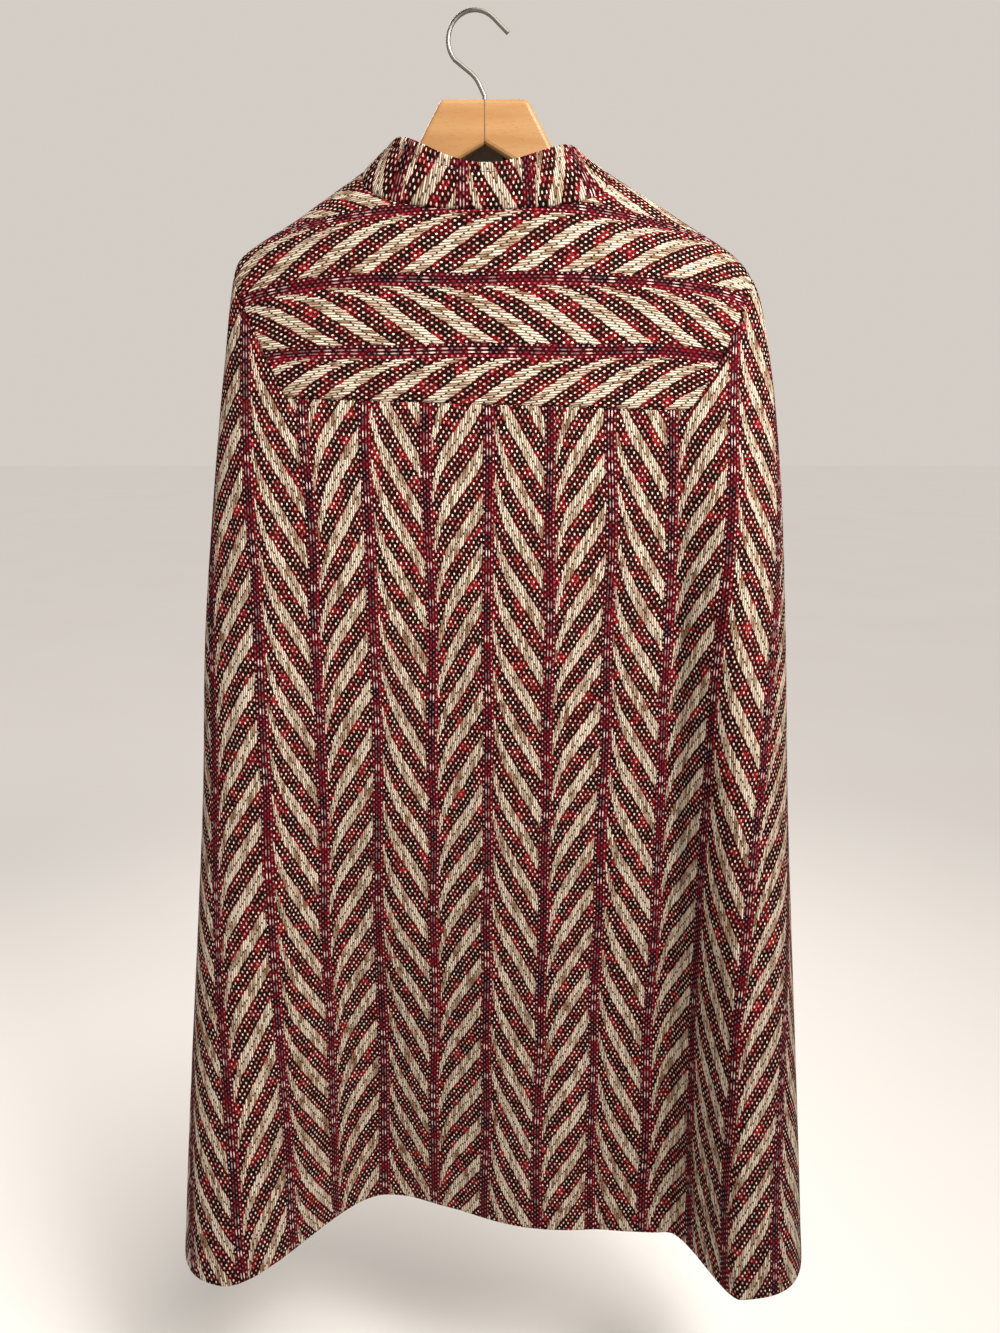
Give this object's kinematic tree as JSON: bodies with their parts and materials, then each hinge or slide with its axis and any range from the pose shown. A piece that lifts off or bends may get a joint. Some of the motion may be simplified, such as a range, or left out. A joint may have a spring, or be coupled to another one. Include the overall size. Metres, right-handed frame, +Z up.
{
  "type": "cape coat on a hanger",
  "caption": "Long woven wool cape with a back yoke and a stand collar, hanging on a wooden hanger with a wire hook.",
  "frame": {"origin": "top of the inside of the hanger's hook, where a nail or rail carries the weight", "axes": "+Z up, -Y out of the cape's back, +X to the wearer's right"},
  "size_m": [0.6726, 0.167, 1.2188],
  "materials": {
    "wool": "coarse patterned weave",
    "lining": "smooth satin",
    "beech": "satin lacquer",
    "wire": "polished wire"
  },
  "bodies": {
    "root": {"back_panel": "wool", "back_yoke": "wool", "front_left": "wool", "front_right": "wool", "collar": "wool", "collar_lining": "lining", "hanger_arm_left": "beech", "hanger_arm_right": "beech", "hanger_hook": "wire"}
  },
  "joints": []
}
